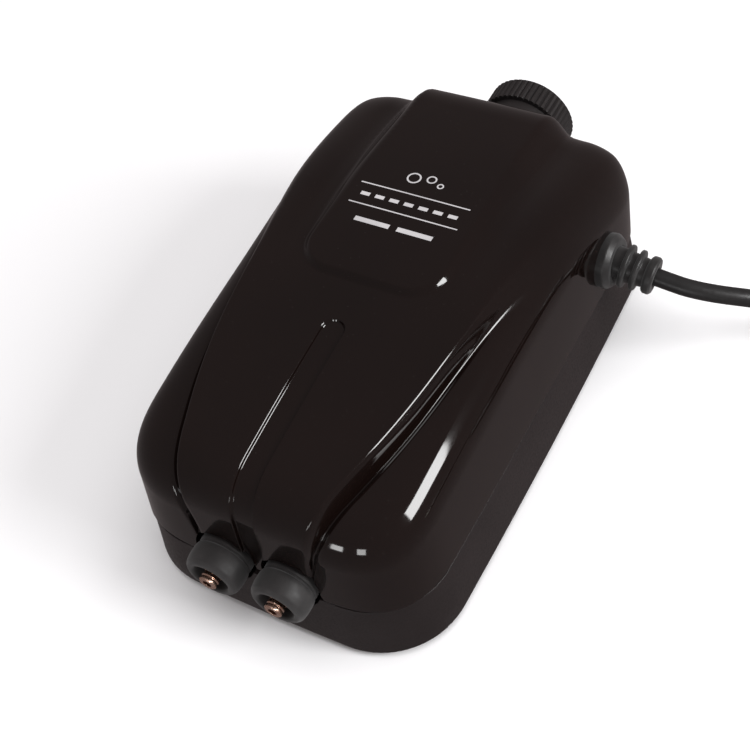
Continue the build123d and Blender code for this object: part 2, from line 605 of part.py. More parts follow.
with BuildPart() as valve_body:
    box_between((-7.5, VALVE_Y[0], 22), (7.5, VALVE_Y[1], 38))
    fillet(valve_body.edges().filter_by(Axis.Y), 2)
    rod((0, VALVE_Y[1], KNOB_Z), (0, 1, 0), VALVE_BOSS_R, VALVE_Y[2] - VALVE_Y[1])
    rod((0, valve_port_y, 38), (0, 0, 1), NIPPLE_R, 4)
    rod((0, valve_port_y, 22), (0, 0, 1), AIR_BORE_R, 30, Mode.SUBTRACT)
    rod((0, VALVE_Y[0] + 3, KNOB_Z), (0, 1, 0), SPINDLE_R + RUNNING, 30, Mode.SUBTRACT)
valve_body.part.label = "valve_body"
export_step(valve_body.part.moved(TO_ORIGIN), "parts/valve_body.step")

with BuildPart() as valve_nut:
    rod((0, 78.2, KNOB_Z), (0, 1, 0), NUT_R, 4.6)
    chamfer(valve_nut.edges().filter_by(GeomType.CIRCLE).group_by(Axis.Y)[-1], 0.6)
    rod((0, 78, KNOB_Z), (0, 1, 0), VALVE_BOSS_R, 6, Mode.SUBTRACT)
valve_nut.part.label = "valve_nut"
export_step(valve_nut.part.moved(TO_ORIGIN), "parts/valve_nut.step")

with BuildPart() as spindle:
    rod((0, valve_port_y + 1.5, KNOB_Z), (0, 1, 0), SPINDLE_R, KNOB_Y[2] - 1.5 - valve_port_y - 1.5)
    chamfer(spindle.edges().filter_by(GeomType.CIRCLE).group_by(Axis.Y)[0], 1.2)
spindle.part.label = "spindle"
export_step(spindle.part.moved(TO_ORIGIN), "parts/spindle.step")

with BuildPart() as knob:
    rod((0, KNOB_Y[0], KNOB_Z), (0, 1, 0), KNOB_SKIRT_R, KNOB_Y[1] - KNOB_Y[0])
    chamfer(knob.edges().filter_by(GeomType.CIRCLE).group_by(Axis.Y)[0], 1.0)
    rod((0, KNOB_Y[1], KNOB_Z), (0, 1, 0), KNOB_R, KNOB_Y[2] - KNOB_Y[1])
    chamfer(knob.edges().filter_by(GeomType.CIRCLE).group_by(Axis.Y)[-1], 0.8)
    with BuildSketch(Plane(origin=(0, KNOB_Y[1], KNOB_Z), z_dir=(0, 1, 0))):
        with PolarLocations(KNOB_R + 0.1, KNOB_RIDGES):
            Rectangle(1.0, 0.85, rotation=45)
    extrude(amount=KNOB_Y[2] - KNOB_Y[1], mode=Mode.SUBTRACT)
    rod((0, KNOB_Y[0], KNOB_Z), (0, 1, 0), SPINDLE_R, KNOB_Y[2] - 1.5 - KNOB_Y[0], Mode.SUBTRACT)
knob.part.label = "knob"
export_step(knob.part.moved(TO_ORIGIN), "parts/knob.step")


# ---- Cord ----

wall_normal = Vector(cos(radians(SHELL_DRAFT)), 0, sin(radians(SHELL_DRAFT)))
tail_dir = Vector(cos(radians(GLAND_DROOP)), 0, -sin(radians(GLAND_DROOP)))
tail_root = Vector(*GLAND_AT) + wall_normal * 4
tail_end = tail_root + tail_dir * GLAND_TAIL

with BuildPart() as gland:
    rod(Vector(*GLAND_AT) - wall_normal * 4.6, wall_normal, 5.6, 1.8)
    rod(Vector(*GLAND_AT) - wall_normal * 4, wall_normal, 4.0, 5)
    rod(GLAND_AT, wall_normal, 8.2, 4.6)
    chamfer(gland.edges().filter_by(GeomType.CIRCLE).sort_by(SortBy.RADIUS)[-1], 1.2)
    with Locations(Plane(origin=tail_root, z_dir=tail_dir)):
        Cone(5.4, 3.9, GLAND_TAIL, align=(Align.CENTER, Align.CENTER, Align.MIN))
    rod(tail_root + tail_dir * 2.6, tail_dir, 6.5, 1.5)
    rod(tail_root + tail_dir * 6.0, tail_dir, 6.1, 1.5)
    rod(tail_root + tail_dir * 9.4, tail_dir, 5.6, 2.8)
gland.part.label = "gland"
export_step(gland.part.moved(TO_ORIGIN), "parts/gland.step")

lead_paths = [[(40.4, 44.8, z), (36, 44.8, z), (32.5, 58, z + 2), (9, 58, z + 4), (9, 50.5, z + 4)]
              for z in (32.0, 34.4)]
lead_wires = tube(lead_paths[0], 3, 0.8) + tube(lead_paths[1], 3, 0.8)
lead_wires.label = "lead_wires"
export_step(lead_wires.moved(TO_ORIGIN), "parts/lead_wires.step")

ring_centre = Vector(RING_AT[0], RING_AT[1], 0)
lead_in = ring_centre + Vector(RING_R, 0, 0).rotate(Axis.Z, LEAD_IN_ANGLE) + Vector(0, 0, CORD_Z)
lead_points = [tail_end, tail_end + tail_dir * 13, (94.5, 55.0, 24.0), (115.5, 72.5, CORD_Z + 0.4), lead_in]
tail_points = [(RING_AT[0], RING_AT[1] + RING_R, 7.0), (185, RING_AT[1] + RING_R, 5.2), (207, 68, 5.8),
               (207, 40, 6.0)]


def run_radii(points):
    """Bend radii of a cord's corners: as large as its straight runs leave room for."""
    radii = []
    for a, b, c in zip(points, points[1:], points[2:]):
        before, after = Vector(*b) - Vector(*a), Vector(*c) - Vector(*b)
        half_turn = radians(before.get_angle(after)) / 2
        radii.append(0.45 * min(before.length, after.length) * cos(half_turn) / sin(half_turn))
    return radii


for name, points in (("cord_lead", lead_points), ("cord_tail", tail_points)):
    radii = run_radii(points)
    cord = tube(points, radii, CORD_D / 2)
    cord.label = name
    export_step(cord.moved(TO_ORIGIN), f"parts/{name}.step")
    print(name, "bends", [round(r, 1) for r in radii],
          "length", round(cord.volume / (pi * (CORD_D / 2) ** 2), 1))

with BuildPart() as cord_ring:
    with BuildSketch(Plane.XZ):
        with Locations((RING_R, RING_LIFT + RING_HALF[1])):
            RectangleRounded(2 * RING_HALF[0], 2 * RING_HALF[1], 2.5)
    revolve(axis=Axis.Z)
cord_ring.part.position = (RING_AT[0], RING_AT[1], 0)
cord_ring.part.label = "cord_ring"
export_step(cord_ring.part.moved(TO_ORIGIN), "parts/cord_ring.step")

with BuildPart() as cord_tie:
    tie_x = RING_AT[0] + RING_R
    half_x, top = RING_HALF[0], RING_LIFT + 2 * RING_HALF[1]
    box_between((tie_x - half_x - 0.4, RING_AT[1] - 3, 0), (tie_x + half_x + 0.4, RING_AT[1] + 3, top + 0.4))
    box_between((tie_x - half_x - 0.15, RING_AT[1] - 4, RING_LIFT), (tie_x + half_x, RING_AT[1] + 4, top),
                Mode.SUBTRACT)
cord_tie.part.label = "cord_tie"
export_step(cord_tie.part.moved(TO_ORIGIN), "parts/cord_tie.step")

plug_rear = Vector(*tail_points[-1])


def plug_plane(back):
    """Cross-section plane of the plug, this far from where the cord enters it."""
    return Plane(origin=plug_rear - Vector(0, back, 0), x_dir=(1, 0, 0), z_dir=(0, -1, 0))


with BuildPart() as plug_body:
    with BuildSketch(plug_plane(0)):
        Circle(3.4)
    with BuildSketch(plug_plane(20)):
        Circle(4.6)
    loft()
    with BuildSketch(plug_plane(18)):
        RectangleRounded(14, 11.6, 4)
    with BuildSketch(plug_plane(34)):
        RectangleRounded(26, 11.6, 4)
    loft()
    with BuildSketch(plug_plane(34)):
        RectangleRounded(26, 11.6, 4)
    extrude(amount=12)
plug_body.part.label = "plug_body"
export_step(plug_body.part.moved(TO_ORIGIN), "parts/plug_body.step")

with BuildPart() as plug_pins:
    for side in SIDES.values():
        rod(plug_rear + Vector(side * 9.3, -46, 0), (0, -1, 0), 2.0, 19)
        rod(plug_rear + Vector(side * 9.3, -46, 0), (0, -1, 0), 1.9, 9)
plug_pins.part.label = "plug_pins"
export_step(plug_pins.part.moved(TO_ORIGIN), "parts/plug_pins.step")
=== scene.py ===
import json
from math import cos, pi, radians, sin

import bpy
import numpy as np
from mathutils import Matrix, Vector
from mathutils.geometry import delaunay_2d_cdt


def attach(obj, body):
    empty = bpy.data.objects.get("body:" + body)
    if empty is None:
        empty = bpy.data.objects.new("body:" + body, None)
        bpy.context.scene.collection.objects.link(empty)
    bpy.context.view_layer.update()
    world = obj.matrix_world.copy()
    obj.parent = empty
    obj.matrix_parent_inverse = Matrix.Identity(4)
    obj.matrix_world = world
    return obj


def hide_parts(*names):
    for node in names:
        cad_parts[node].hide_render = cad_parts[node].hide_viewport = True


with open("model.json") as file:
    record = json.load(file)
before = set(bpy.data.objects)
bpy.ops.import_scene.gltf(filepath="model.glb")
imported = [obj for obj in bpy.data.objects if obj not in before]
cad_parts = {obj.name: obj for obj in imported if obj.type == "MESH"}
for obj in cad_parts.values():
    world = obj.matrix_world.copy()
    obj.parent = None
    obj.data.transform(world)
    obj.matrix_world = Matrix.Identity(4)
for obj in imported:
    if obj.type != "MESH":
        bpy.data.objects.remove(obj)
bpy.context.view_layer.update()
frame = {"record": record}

MM = 0.001
MID_Y = 5.45          # the frame's origin lies this far towards the knob from the middle of the case
SIDES = {"left": -1, "right": 1}


def at(points):
    """Points drawn about the middle of the case in millimetres, in the frame's metres."""
    return (np.asarray(points, float) - (0.0, MID_Y, 0.0)) * MM


def smooth(low, high, x):
    """A smooth step from 0 at low to 1 at high."""
    t = np.clip((x - low) / (high - low), 0.0, 1.0)
    return t * t * (3.0 - 2.0 * t)


# ---- Materials ----

def new_material(name):
    mat = bpy.data.materials.new(name)
    mat.use_nodes = True
    return mat, mat.node_tree.nodes, mat.node_tree.links, mat.node_tree.nodes["Principled BSDF"]


def noise_on(nodes, links, scale, detail=4.0, stretch=(1.0, 1.0, 1.0)):
    """Noise over the object's own space, with features about 1/scale metres across."""
    coord = nodes.new("ShaderNodeTexCoord")
    mapping = nodes.new("ShaderNodeMapping")
    mapping.inputs["Scale"].default_value = stretch
    noise = nodes.new("ShaderNodeTexNoise")
    noise.inputs["Scale"].default_value = scale
    noise.inputs["Detail"].default_value = detail
    links.new(coord.outputs["Object"], mapping.inputs["Vector"])
    links.new(mapping.outputs["Vector"], noise.inputs["Vector"])
    return noise.outputs["Fac"], mapping.outputs["Vector"]


def ramp(nodes, links, source, stops):
    node = nodes.new("ShaderNodeValToRGB")
    elements = node.color_ramp.elements
    while len(elements) < len(stops):
        elements.new(0.5)
    for element, (position, colour) in zip(elements, stops):
        element.position = position
        element.color = (*colour, 1.0)
    links.new(source, node.inputs["Fac"])
    return node.outputs["Color"]


def spread(nodes, links, source, low, high, from_low=0.3, from_high=0.7):
    node = nodes.new("ShaderNodeMapRange")
    node.inputs["From Min"].default_value = from_low
    node.inputs["From Max"].default_value = from_high
    node.inputs["To Min"].default_value = low
    node.inputs["To Max"].default_value = high
    links.new(source, node.inputs["Value"])
    return node.outputs["Result"]


def bump(nodes, links, height, strength, distance, normal=None):
    node = nodes.new("ShaderNodeBump")
    node.inputs["Strength"].default_value = strength
    node.inputs["Distance"].default_value = distance
    links.new(height, node.inputs["Height"])
    if normal is not None:
        links.new(normal, node.inputs["Normal"])
    return node.outputs["Normal"]


def rounded_edges(nodes, radius):
    node = nodes.new("ShaderNodeBevel")
    node.samples = 6
    node.inputs["Radius"].default_value = radius
    return node.outputs["Normal"]


def surface(name, dark, light, rough, grain=900.0, grain_bump=0.15, depth=0.00005, mottle=60.0,
            edge=0.0, metal=0.0, stretch=(1.0, 1.0, 1.0), **sockets):
    """A moulded, turned or pressed surface: mottled colour, uneven gloss and a fine grain."""
    mat, nodes, links, shader = new_material(name)
    patches, _ = noise_on(nodes, links, mottle, 5.0)
    fine, _ = noise_on(nodes, links, grain, 3.0, stretch)
    links.new(ramp(nodes, links, patches, ((0.3, dark), (0.7, light))), shader.inputs["Base Color"])
    links.new(spread(nodes, links, fine, rough[0], rough[1]), shader.inputs["Roughness"])
    base = rounded_edges(nodes, edge) if edge else None
    links.new(bump(nodes, links, fine, grain_bump, depth, base), shader.inputs["Normal"])
    shader.inputs["Metallic"].default_value = metal
    for socket, value in sockets.items():
        shader.inputs[socket.replace("_", " ")].default_value = value
    return mat


def banded(name, dark, light, rough, pitch, axis, metal=0.0, strength=0.6, depth=0.0002):
    """Parallel wires or laminations, one every pitch metres along an axis."""
    mat, nodes, links, shader = new_material(name)
    coord = nodes.new("ShaderNodeTexCoord")
    wave = nodes.new("ShaderNodeTexWave")
    wave.wave_type, wave.bands_direction = "BANDS", axis
    wave.inputs["Scale"].default_value = pi / (10.0 * pitch)
    wave.inputs["Distortion"].default_value = 0.4
    wave.inputs["Detail"].default_value = 2.0
    links.new(coord.outputs["Object"], wave.inputs["Vector"])
    fine, _ = noise_on(nodes, links, 700.0)
    links.new(ramp(nodes, links, wave.outputs["Fac"], ((0.1, dark), (0.75, light))),
              shader.inputs["Base Color"])
    links.new(spread(nodes, links, fine, *rough), shader.inputs["Roughness"])
    links.new(bump(nodes, links, wave.outputs["Fac"], strength, depth), shader.inputs["Normal"])
    shader.inputs["Metallic"].default_value = metal
    return mat


def gloss_shell():
    """Polished near-black plastic with a brown cast: faint waviness, smudges and a little dust."""
    mat, nodes, links, shader = new_material("shell_gloss_black")
    patches, _ = noise_on(nodes, links, 22.0, 4.0)
    smudge, _ = noise_on(nodes, links, 45.0, 6.0, (1.0, 0.35, 1.0))
    waves, _ = noise_on(nodes, links, 60.0, 1.0)
    _, vector = noise_on(nodes, links, 900.0, 2.0)
    specks = nodes.new("ShaderNodeTexVoronoi")
    specks.inputs["Scale"].default_value = 420.0
    links.new(vector, specks.inputs["Vector"])
    brown = ramp(nodes, links, patches, ((0.25, (0.0036, 0.0019, 0.0016)), (0.75, (0.0056, 0.0029, 0.0024))))
    fleck = spread(nodes, links, specks.outputs["Distance"], 0.5, 0.0, 0.03, 0.075)
    mix = nodes.new("ShaderNodeMix")
    mix.data_type = "RGBA"
    links.new(fleck, mix.inputs["Factor"])
    links.new(brown, mix.inputs["A"])
    mix.inputs["B"].default_value = (0.03, 0.027, 0.025, 1.0)
    links.new(mix.outputs["Result"], shader.inputs["Base Color"])
    links.new(spread(nodes, links, smudge, 0.045, 0.12, 0.35, 0.8), shader.inputs["Roughness"])
    links.new(bump(nodes, links, waves, 0.05, 0.0004), shader.inputs["Normal"])
    shader.inputs["IOR"].default_value = 1.52
    return mat


def felt():
    mat, nodes, links, shader = new_material("filter_felt")
    fibre, _ = noise_on(nodes, links, 1400.0, 8.0, (1.0, 0.25, 1.0))
    links.new(ramp(nodes, links, fibre, ((0.3, (0.5, 0.49, 0.45)), (0.7, (0.82, 0.81, 0.77)))),
              shader.inputs["Base Color"])
    links.new(bump(nodes, links, fibre, 0.9, 0.0004), shader.inputs["Normal"])
    shader.inputs["Roughness"].default_value = 0.95
    shader.inputs["Sheen Weight"].default_value = 0.4
    return mat


def dusty_rubber(name, dark, light, rough):
    """Matte black rubber with a pale bloom that lies unevenly on it."""
    mat, nodes, links, shader = new_material(name)
    bloom, _ = noise_on(nodes, links, 240.0, 8.0)
    fine, _ = noise_on(nodes, links, 2200.0, 3.0)
    links.new(ramp(nodes, links, bloom, ((0.35, dark), (0.62, light), (0.8, tuple(2.2 * c for c in light)))),
              shader.inputs["Base Color"])
    links.new(spread(nodes, links, bloom, *rough), shader.inputs["Roughness"])
    links.new(bump(nodes, links, fine, 0.3, 0.00006), shader.inputs["Normal"])
    shader.inputs["Sheen Weight"].default_value = 0.12
    shader.inputs["Sheen Roughness"].default_value = 0.6
    return mat


MATERIALS = {
    "shell_gloss_black": gloss_shell(),
    "housing_satin_black": surface("housing_satin_black", (0.008, 0.0055, 0.0055), (0.012, 0.0085, 0.0085),
                                   (0.3, 0.46), grain=1500.0, grain_bump=0.25, edge=0.0004),
    "foot_rubber": dusty_rubber("foot_rubber", (0.012, 0.012, 0.012), (0.022, 0.022, 0.022), (0.7, 0.9)),
    "zinc_screw": surface("zinc_screw", (0.5, 0.51, 0.5), (0.68, 0.68, 0.64), (0.25, 0.45), metal=1.0,
                          edge=0.00015),
    "filter_felt": felt(),
    "print_silver": surface("print_silver", (0.46, 0.45, 0.46), (0.62, 0.61, 0.62), (0.35, 0.5),
                            grain=2500.0, metal=0.25),
    "inner_plastic": surface("inner_plastic", (0.1, 0.1, 0.108), (0.14, 0.14, 0.145), (0.4, 0.55),
                             edge=0.0003),
    "nozzle_brass": surface("nozzle_brass", (0.72, 0.45, 0.34), (0.9, 0.66, 0.53), (0.16, 0.34), metal=1.0,
                            grain=2500.0, mottle=500.0, edge=0.00012),
    "collar_rubber": dusty_rubber("collar_rubber", (0.0055, 0.0047, 0.0047), (0.0105, 0.009, 0.009),
                                  (0.5, 0.75)),
    "hose_silicone": surface("hose_silicone", (0.72, 0.72, 0.7), (0.84, 0.84, 0.81), (0.3, 0.5),
                             Transmission_Weight=0.35, Subsurface_Weight=0.2),
    "core_steel": banded("core_steel", (0.1, 0.1, 0.1), (0.26, 0.26, 0.27), (0.35, 0.6), 0.0007, "X",
                         metal=0.8),
    "bobbin_nylon": surface("bobbin_nylon", (0.76, 0.73, 0.62), (0.87, 0.84, 0.75), (0.35, 0.55),
                            edge=0.0002, Subsurface_Weight=0.1),
    "enamelled_wire": banded("enamelled_wire", (0.28, 0.1, 0.04), (0.75, 0.32, 0.15), (0.2, 0.35), 0.0005,
                             "X", metal=1.0, strength=0.9),
    "coil_tape": surface("coil_tape", (0.68, 0.48, 0.08), (0.8, 0.6, 0.16), (0.15, 0.3), edge=0.0001),
    "bracket_steel": surface("bracket_steel", (0.5, 0.5, 0.51), (0.66, 0.66, 0.66), (0.25, 0.45), metal=1.0,
                             stretch=(1.0, 14.0, 1.0), edge=0.0002),
    "pin_steel": surface("pin_steel", (0.66, 0.66, 0.67), (0.78, 0.78, 0.78), (0.1, 0.22), metal=1.0,
                         stretch=(1.0, 1.0, 0.1), edge=0.0001),
    "knob_plastic": surface("knob_plastic", (0.011, 0.0095, 0.0095), (0.017, 0.0145, 0.0145), (0.32, 0.5),
                            grain=1600.0, grain_bump=0.2, edge=0.00015),
    "gland_rubber": dusty_rubber("gland_rubber", (0.004, 0.0037, 0.0037), (0.007, 0.0064, 0.0064),
                                 (0.34, 0.52)),
    "lead_wire": surface("lead_wire", (0.08, 0.2, 0.45), (0.13, 0.28, 0.55), (0.35, 0.5)),
    "cord_pvc": surface("cord_pvc", (0.009, 0.0088, 0.009), (0.015, 0.0145, 0.0145), (0.3, 0.45),
                        grain=1100.0, grain_bump=0.2, mottle=90.0),
    "tie_black": surface("tie_black", (0.02, 0.02, 0.02), (0.035, 0.035, 0.035), (0.45, 0.65), edge=0.0002),
    "plug_pvc": surface("plug_pvc", (0.011, 0.0105, 0.0105), (0.018, 0.017, 0.017), (0.35, 0.55),
                        grain=1300.0, edge=0.0006),
    "plug_pin_metal": surface("plug_pin_metal", (0.7, 0.69, 0.64), (0.82, 0.8, 0.74), (0.12, 0.26),
                              metal=1.0, edge=0.0002),
    "arm_nylon": surface("arm_nylon", (0.07, 0.07, 0.07), (0.12, 0.12, 0.12), (0.45, 0.65), grain=1900.0,
                         stretch=(1.0, 0.2, 1.0), edge=0.0003),
    "magnet_ferrite": surface("magnet_ferrite", (0.05, 0.05, 0.054), (0.1, 0.1, 0.105), (0.4, 0.7),
                              metal=0.5, grain=1500.0, grain_bump=0.5, edge=0.0002),
    "clamp_aluminium": surface("clamp_aluminium", (0.7, 0.7, 0.71), (0.82, 0.82, 0.83), (0.2, 0.38),
                               metal=1.0, stretch=(8.0, 1.0, 1.0), edge=0.0002),
    "diaphragm_rubber": dusty_rubber("diaphragm_rubber", (0.018, 0.018, 0.019), (0.03, 0.03, 0.031),
                                     (0.55, 0.8)),
}


# ---- Smooth shading of the CAD pieces, sharp above 32 degrees ----

shading = bpy.data.node_groups.new("smooth_shading", "GeometryNodeTree")
shading.interface.new_socket("Geometry", in_out="INPUT", socket_type="NodeSocketGeometry")
shading.interface.new_socket("Geometry", in_out="OUTPUT", socket_type="NodeSocketGeometry")
group_in, group_out = shading.nodes.new("NodeGroupInput"), shading.nodes.new("NodeGroupOutput")
merge = shading.nodes.new("GeometryNodeMergeByDistance")
merge.inputs["Distance"].default_value = 1e-6
all_smooth = shading.nodes.new("GeometryNodeSetShadeSmooth")
sharp = shading.nodes.new("GeometryNodeSetShadeSmooth")
sharp.domain = "EDGE"
sharp.inputs["Shade Smooth"].default_value = False
angle = shading.nodes.new("GeometryNodeInputMeshEdgeAngle")
steep = shading.nodes.new("FunctionNodeCompare")
steep.operation = "GREATER_THAN"
steep.inputs["B"].default_value = radians(32.0)
shading.links.new(group_in.outputs[0], merge.inputs["Geometry"])
shading.links.new(merge.outputs["Geometry"], all_smooth.inputs["Geometry"])
shading.links.new(all_smooth.outputs["Geometry"], sharp.inputs["Geometry"])
shading.links.new(angle.outputs["Unsigned Angle"], steep.inputs["A"])
shading.links.new(steep.outputs["Result"], sharp.inputs["Selection"])
shading.links.new(sharp.outputs["Geometry"], group_out.inputs[0])

REPLACED = {"upper_shell", "collar_left", "collar_right", "gland", "label_rules", "cord_lead", "cord_tail",
            "cord_ring"}
for subpart in frame["record"]["subparts"]:
    name = subpart["node"]
    obj = bpy.data.objects[name]
    obj.data.materials.clear()
    obj.data.materials.append(MATERIALS[subpart["material_slot"]])
    if name not in REPLACED:
        obj.modifiers.new("smooth_shading", "NODES").node_group = shading


def piece(name, verts, faces, slot, body, normals=None, replaces=()):
    """A new mesh piece in the frame, riding on a body."""
    mesh = bpy.data.meshes.new(name)
    mesh.from_pydata([tuple(v) for v in verts], [], [tuple(f) for f in faces])
    mesh.polygons.foreach_set("use_smooth", [True] * len(mesh.polygons))
    mesh.update()
    if normals is not None:
        mesh.normals_split_custom_set_from_vertices([tuple(n) for n in normals])
    mesh.materials.append(MATERIALS[slot])
    obj = bpy.data.objects.new(name, mesh)
    bpy.context.scene.collection.objects.link(obj)
    if replaces:
        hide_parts(*replaces)
    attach(obj, body)
    return obj


# ---- Upper shell: one skin over an unrolled plan, so that edges run along its creases ----

CASE_HALF = np.array((46.2, 78.2))    # outline at the parting line
CORNER = 28.0                         # its corners, as superellipses
CORNER_POWER = (3.1, 4.0)            # front and rear
INSET = 14.3                          # from the outline to where the top begins to turn down
WALL_W = 22.0                         # the wall's share of the unrolled plan
LIP_W = 0.8                           # and that of the small radius along the parting line
SHELL_FOOT_Z = 21.15
CENTRE_TOP, DOME_Y, DOME_R = 61.8, 12.0, 520.0
SIDE_DROP = 5.2                       # of the side lobes below the centre section
REAR_DROP = 4.6                       # of everything but the hump towards the rear
HUMP_RISE = 1.7
SIDE_TAPER, END_BOW = 0.022, 0.0154   # how much the outline narrows at its ends and draws in at its sides
REAR_SWELL, SWELL_LOST = 0.07, 0.65   # widening towards the rear, and the share lost down the wall
WALL_LEAN = 1.7                       # of the wall, outwards at its foot
SHOULDER_R = 13.2
GROOVE_DEPTH, GROOVE_HALF_W = 1.5, 0.95
CORE = CASE_HALF - CORNER
CAP_R = CORNER - INSET

turn = np.linspace(0.0, 1.0, 4001)
turn = radians(87.0) * (turn - 0.3 * np.sin(2 * pi * turn) / (2 * pi))
SHOULDER_W = SHOULDER_R / np.cos(turn).mean()
SHOULDER_A = np.linspace(0.0, SHOULDER_W, 4001)
SHOULDER_STEP = SHOULDER_W / 4000
SHOULDER_H = np.concatenate(([0.0], np.cumsum((np.cos(turn[1:]) + np.cos(turn[:-1])) / 2))) * SHOULDER_STEP
SHOULDER_V = np.concatenate(([0.0], np.cumsum((np.sin(turn[1:]) + np.sin(turn[:-1])) / 2))) * SHOULDER_STEP
EDGE_A = SHOULDER_W + WALL_W
RIM_A = EDGE_A + LIP_W


def curve_through(points):
    """A natural cubic spline: the second column as a smooth function of the first."""
    x, y = np.array(points, float).T
    h, n = np.diff(x), len(x)
    system, right = np.eye(n), np.zeros(n)
    for i in range(1, n - 1):
        system[i, i - 1:i + 2] = h[i - 1], 2 * (h[i - 1] + h[i]), h[i]
        right[i] = 6 * ((y[i + 1] - y[i]) / h[i] - (y[i] - y[i - 1]) / h[i - 1])
    m = np.linalg.solve(system, right)

    def evaluate(t):
        i = np.clip(np.searchsorted(x, t) - 1, 0, n - 2)
        a, b, w = x[i + 1] - t, t - x[i], h[i]
        return (m[i] * a ** 3 + m[i + 1] * b ** 3) / (6 * w) + (y[i] / w - m[i] * w / 6) * a \
            + (y[i + 1] / w - m[i + 1] * w / 6) * b
    return evaluate


# Crease between the centre section and each side lobe, as (along, across) on the unrolled plan
crease_at = curve_through(((-112, 16.2), (-96, 17.0), (-84, 19.0), (-74, 21.7), (-64, 24.6), (-50, 28.6),
                           (-36, 31.6), (-20, 33.9), (0, 36.8), (15, 39.4), (35, 42.0), (60, 43.5),
                           (112, 44.5)))


def crease_distance(q):
    along = q[:, 1]
    slope = (crease_at(along + 0.5) - crease_at(along - 0.5))
    return (np.abs(q[:, 0]) - crease_at(along)) / np.sqrt(1.0 + slope ** 2)


def crease_width(along):
    """Half the width of the step from the centre section down to the side lobe."""
    return 1.25 + 4.5 * smooth(-25.0, 55.0, along)


HUMP_HALF_W, HUMP_FRONT, HUMP_CORNER = 21.5, -6.5, 10.0


def hump_distance(q):
    px = np.abs(q[:, 0]) - HUMP_HALF_W + HUMP_CORNER
    py = HUMP_FRONT + HUMP_CORNER - q[:, 1]
    outside = np.sqrt(np.maximum(px, 0) ** 2 + np.maximum(py, 0) ** 2)
    return outside + np.minimum(np.maximum(px, py), 0) - HUMP_CORNER


RIB_HALF_W, RIB_END, RIB_DEPTH = 3.25, -23.2, 0.9


def rib_distance(q):
    return np.sqrt(q[:, 0] ** 2 + np.maximum(q[:, 1] - RIB_END, 0) ** 2) - RIB_HALF_W


def rounded(out, q):
    """Distance from the rounded core, by the corners' power."""
    power = np.where(q[:, 1] < 0, *CORNER_POWER)
    return (out ** power[:, None]).sum(1) ** (1.0 / power)


def shell_point(q):
    """Unrolled plan to the shell's outer surface, in millimetres about the middle of the case."""
    q = np.asarray(q, float)
    sign = np.where(q < 0, -1.0, 1.0)
    out = np.maximum(np.abs(q) - CORE, 1e-9)
    rho = rounded(out, q)
    a = np.maximum(rho - CAP_R, 0.0)
    wall = np.clip((a - SHOULDER_W) / WALL_W, 0.0, 1.0)
    lip = np.clip((a - EDGE_A) / LIP_W, 0.0, 1.3) * pi / 2
    reach = np.where(a > 0, CAP_R + np.interp(a, SHOULDER_A, SHOULDER_H), rho) + WALL_LEAN * wall \
        - 0.5 * (1 - np.cos(lip))
    plan = sign * (np.minimum(np.abs(q), CORE) + out * (reach / rho)[:, None])
    swell = REAR_SWELL * smooth(-10.0, 84.0, plan[:, 1]) * (1.0 - SWELL_LOST * wall)
    x = plan[:, 0] * (1 - SIDE_TAPER * (plan[:, 1] / 77.0) ** 2 + swell)
    y = plan[:, 1] * (1 - END_BOW * (plan[:, 0] / 45.0) ** 2)

    across = crease_distance(q)
    half = crease_width(q[:, 1])
    lowered = smooth(-half, half, across)
    hump_flank = 1.3 + 2.0 * smooth(0.0, 60.0, q[:, 1])
    humped = 1.0 - smooth(-hump_flank, hump_flank, hump_distance(q))
    rear = smooth(-25.0, 55.0, y)
    top = CENTRE_TOP - (y - DOME_Y) ** 2 / (2 * DOME_R) - SIDE_DROP * lowered * (1.0 - 0.35 * rear) \
        + HUMP_RISE * humped - REAR_DROP * smooth(22.0, 76.0, y) * (1.0 - humped) \
        - 0.35 * np.exp(-((np.abs(q[:, 0]) - 27.0) / 3.0) ** 2) * smooth(-5.0, 20.0, y)
    level = top - np.interp(a, SHOULDER_A, SHOULDER_V)
    z = level + (SHELL_FOOT_Z + 0.5 - level) * wall - 0.5 * np.sin(lip)

    steep = np.interp(a, SHOULDER_A, turn)
    facing = sign * out / np.linalg.norm(out, axis=1)[:, None]
    normal = np.column_stack((facing * np.sin(steep)[:, None], np.cos(steep)))
    depth = GROOVE_DEPTH * smooth(22.0, -45.0, q[:, 1]) * smooth(-101.0, -88.0, q[:, 1])
    groove = depth * np.exp(-((across - GROOVE_HALF_W) / GROOVE_HALF_W) ** 2)
    channel = RIB_DEPTH * (1.0 - smooth(-0.38, 0.38, rib_distance(q)))
    return np.column_stack((x, y, z)) - normal * (groove + channel)[:, None]


def shell_normal(q, step=0.04):
    du = shell_point(q + (step, 0.0)) - shell_point(q - (step, 0.0))
    dv = shell_point(q + (0.0, step)) - shell_point(q - (0.0, step))
    n = np.cross(du, dv)
    return n / np.linalg.norm(n, axis=1)[:, None]


def unroll_front(x, z):
    """Where a point of the front wall lies on the unrolled plan."""
    q = np.column_stack((x, np.full(len(x), -(CORE[1] + CAP_R + SHOULDER_W + 10.0))))
    for _ in range(12):
        here = shell_point(q)
        low = shell_point(q + (0.0, -0.5))
        q[:, 1] -= 0.5 * (z - here[:, 2]) / (low[:, 2] - here[:, 2])
        q[:, 0] += x - here[:, 0]
    return q


NOZZLE_X, NOZZLE_Z, NOTCH_R = 10.3, 23.7, 9.3
RIM_Y = CORE[1] + CAP_R + RIM_A


